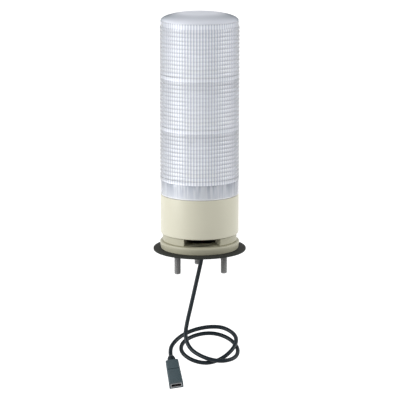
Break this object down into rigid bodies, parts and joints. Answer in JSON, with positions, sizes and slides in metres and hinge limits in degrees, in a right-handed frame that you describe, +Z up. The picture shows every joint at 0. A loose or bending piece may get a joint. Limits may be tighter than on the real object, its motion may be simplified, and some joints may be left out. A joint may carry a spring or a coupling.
{
  "type": "stack light",
  "caption": "Stack light with clear ribbed lens tiers on an ivory body with a sounder, panel studs under a rubber gasket, and a hanging data lead with a plug.",
  "frame": {"origin": "centre of the underside of the rubber gasket, where it meets the panel, on the tower's axis", "axes": "+Z up the tower away from the panel; -Y is the front, where the sound outlet is; +X is to the right as seen from the front. The studs point along -Z, and the data lead hangs below the origin."},
  "size_m": [0.0706, 0.0768, 0.2811],
  "materials": {
    "ivory_plastic": "semi-gloss moulded",
    "black_rubber": "matt, fine grain",
    "zinc_steel": "plain zinc",
    "clear_plastic": "clear moulded plastic",
    "white_plastic": "matt",
    "circuit_board": "lacquered",
    "white_board": "white lacquer",
    "lamp_face": "clear gloss",
    "chip_black": "matt",
    "connector_white": "matt",
    "lead_insulation": "matt",
    "tube_metal": "satin",
    "black_jacket": "satin, faintly blue-grey",
    "plug_metal": "bright plated",
    "tongue_plastic": "matt",
    "contact_metal": "gold flash"
  },
  "bodies": {
    "root": {"mounting_ring": "ivory_plastic", "sound_neck": "ivory_plastic", "body_housing": "ivory_plastic", "base_gasket": "black_rubber", "cable_bush": "black_rubber", "lens_seal": "black_rubber", "mounting_studs": "zinc_steel", "base_screws": "zinc_steel", "board_screws": "zinc_steel", "lens_collar": "clear_plastic", "lens_bottom": "clear_plastic", "lens_middle": "clear_plastic", "lens_top": "clear_plastic", "top_cap": "clear_plastic", "tower_base": "white_plastic", "divider_bottom": "white_plastic", "divider_middle": "white_plastic", "divider_top": "white_plastic", "reflector_bottom": "white_plastic", "reflector_middle": "white_plastic", "reflector_top": "white_plastic", "control_board": "circuit_board", "led_board_bottom": "white_board", "led_board_middle": "white_board", "led_board_top": "white_board", "leds_bottom": "lamp_face", "leds_middle": "lamp_face", "leds_top": "lamp_face", "board_chips": "chip_black", "buzzer": "chip_black", "cable_header": "connector_white", "tower_connector": "connector_white", "inner_leads": "lead_insulation", "centre_tube": "tube_metal", "cable": "black_jacket", "plug_boot": "black_jacket", "plug_body": "black_jacket", "plug_shell": "plug_metal", "plug_tongue": "tongue_plastic", "plug_contacts": "contact_metal"}
  },
  "joints": []
}
